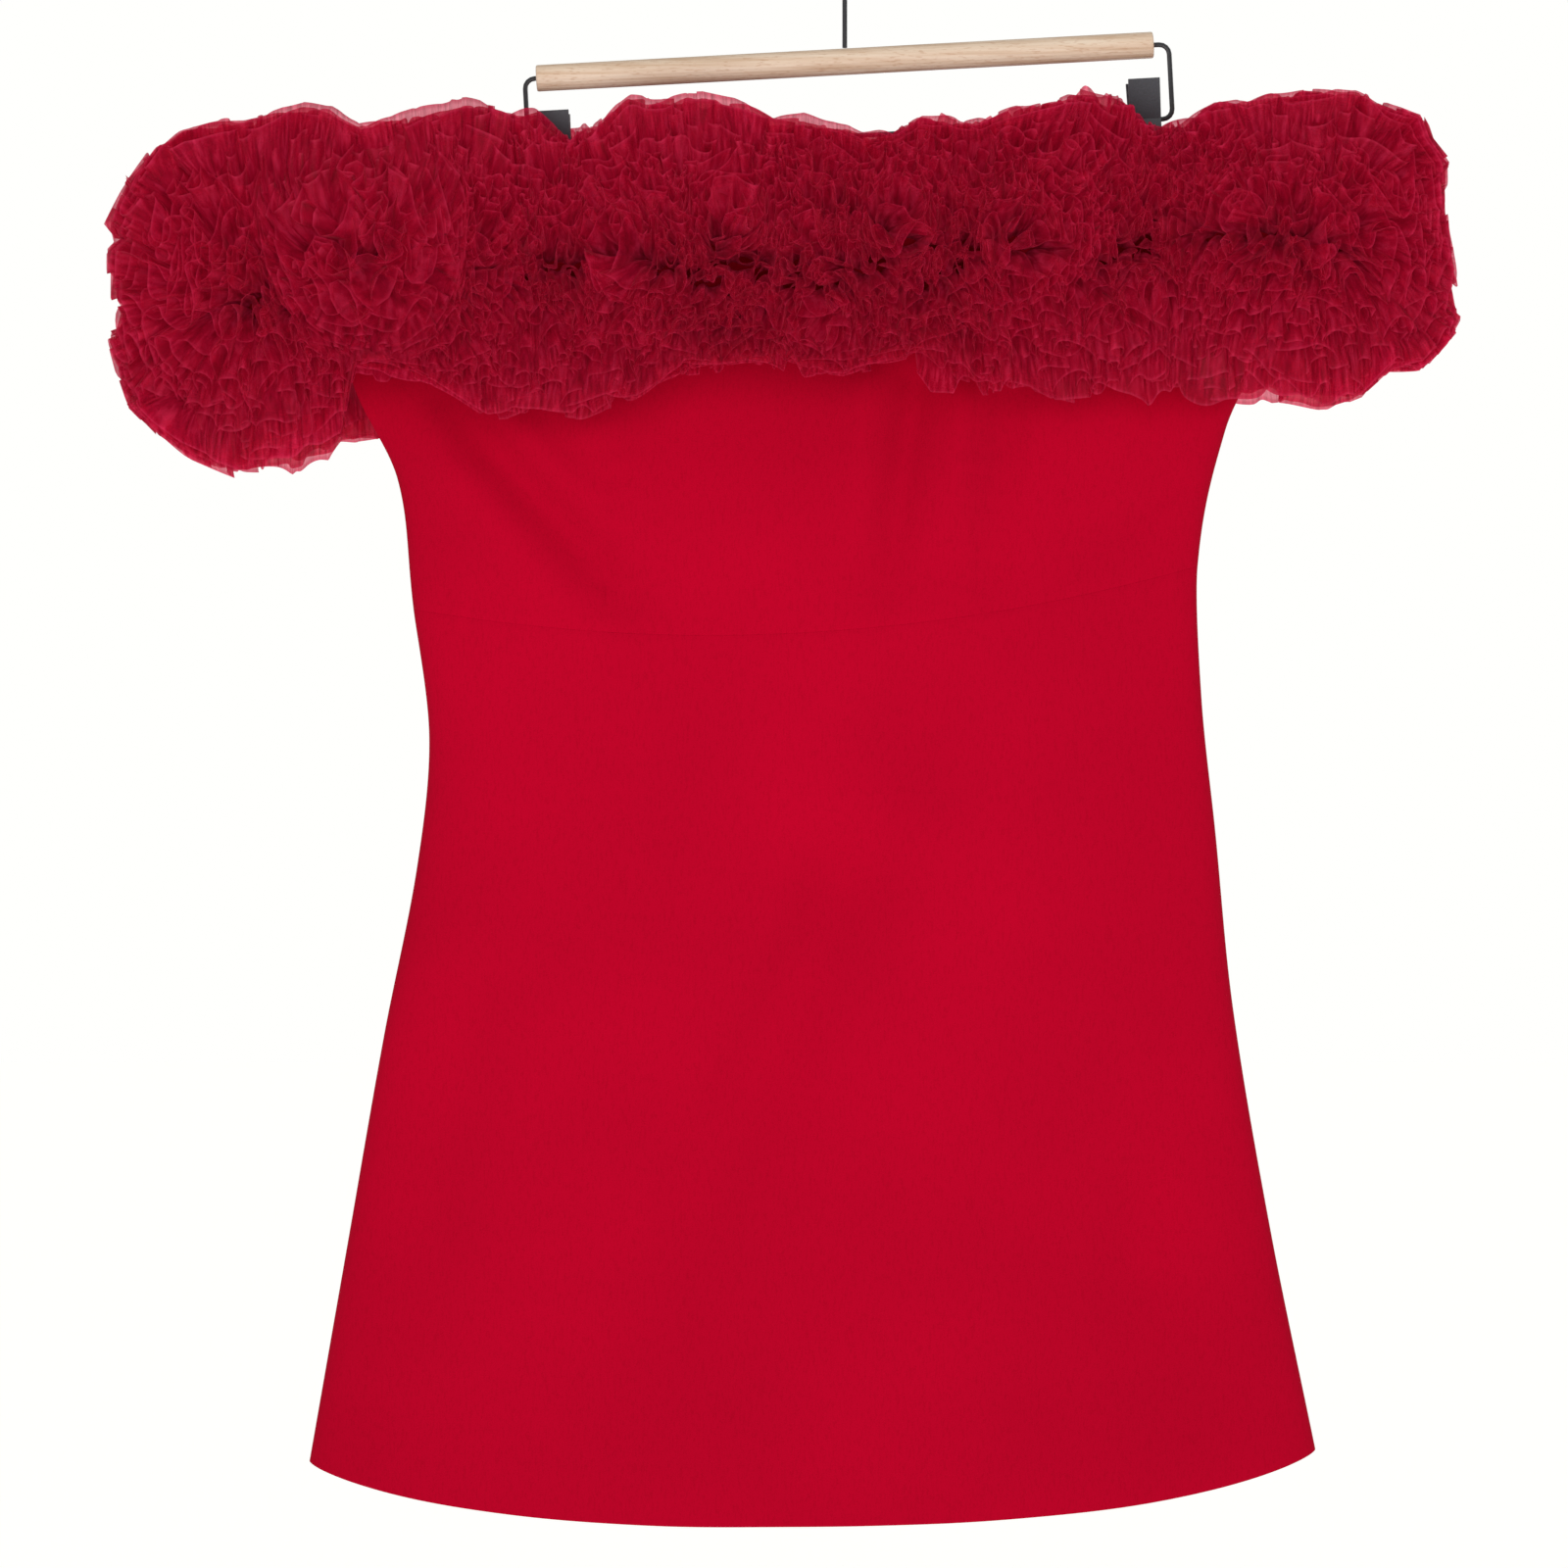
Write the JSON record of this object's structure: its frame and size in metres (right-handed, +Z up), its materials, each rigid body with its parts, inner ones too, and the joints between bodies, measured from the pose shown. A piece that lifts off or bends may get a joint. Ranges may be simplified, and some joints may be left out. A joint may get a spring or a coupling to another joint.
{
  "type": "off-shoulder mini dress on a clip hanger",
  "caption": "Off-shoulder mini dress in red crepe with a full gathered organza ruffle band round the neckline and sleeves, hung nearly flat from a beech and wire clip hanger.",
  "frame": {"origin": "inside top of the hanger's hook, where the rail carries it", "axes": "+Z up, the dress's front faces -Y, +X towards the right as seen from the front"},
  "size_m": [0.6956, 0.1657, 0.8308],
  "materials": {
    "crepe": "matte",
    "organza": "sheer",
    "zip_tape": "matte",
    "beech": "bare, sanded",
    "wire": "satin black",
    "clip_plastic": "matte"
  },
  "bodies": {
    "root": {"bodice_centre_front": "crepe", "bodice_side_front_left": "crepe", "bodice_side_front_right": "crepe", "bodice_back_left": "crepe", "bodice_back_right": "crepe", "skirt_front": "crepe", "skirt_back_left": "crepe", "skirt_back_right": "crepe", "sleeve_band_left": "crepe", "sleeve_band_right": "crepe", "zip": "zip_tape", "zip_slider": "zip_tape", "ruffle_top_front": "organza", "ruffle_top_back_left": "organza", "ruffle_top_back_right": "organza", "ruffle_upper_front": "organza", "ruffle_upper_back_left": "organza", "ruffle_upper_back_right": "organza", "ruffle_lower_front": "organza", "ruffle_lower_back_left": "organza", "ruffle_lower_back_right": "organza", "ruffle_bottom_front": "organza", "ruffle_bottom_back_left": "organza", "ruffle_bottom_back_right": "organza", "hanger_rod": "beech", "wire_frame": "wire", "hook": "wire", "clip_left_front_jaw": "clip_plastic", "clip_left_back_jaw": "clip_plastic", "clip_right_front_jaw": "clip_plastic", "clip_right_back_jaw": "clip_plastic"}
  },
  "joints": []
}
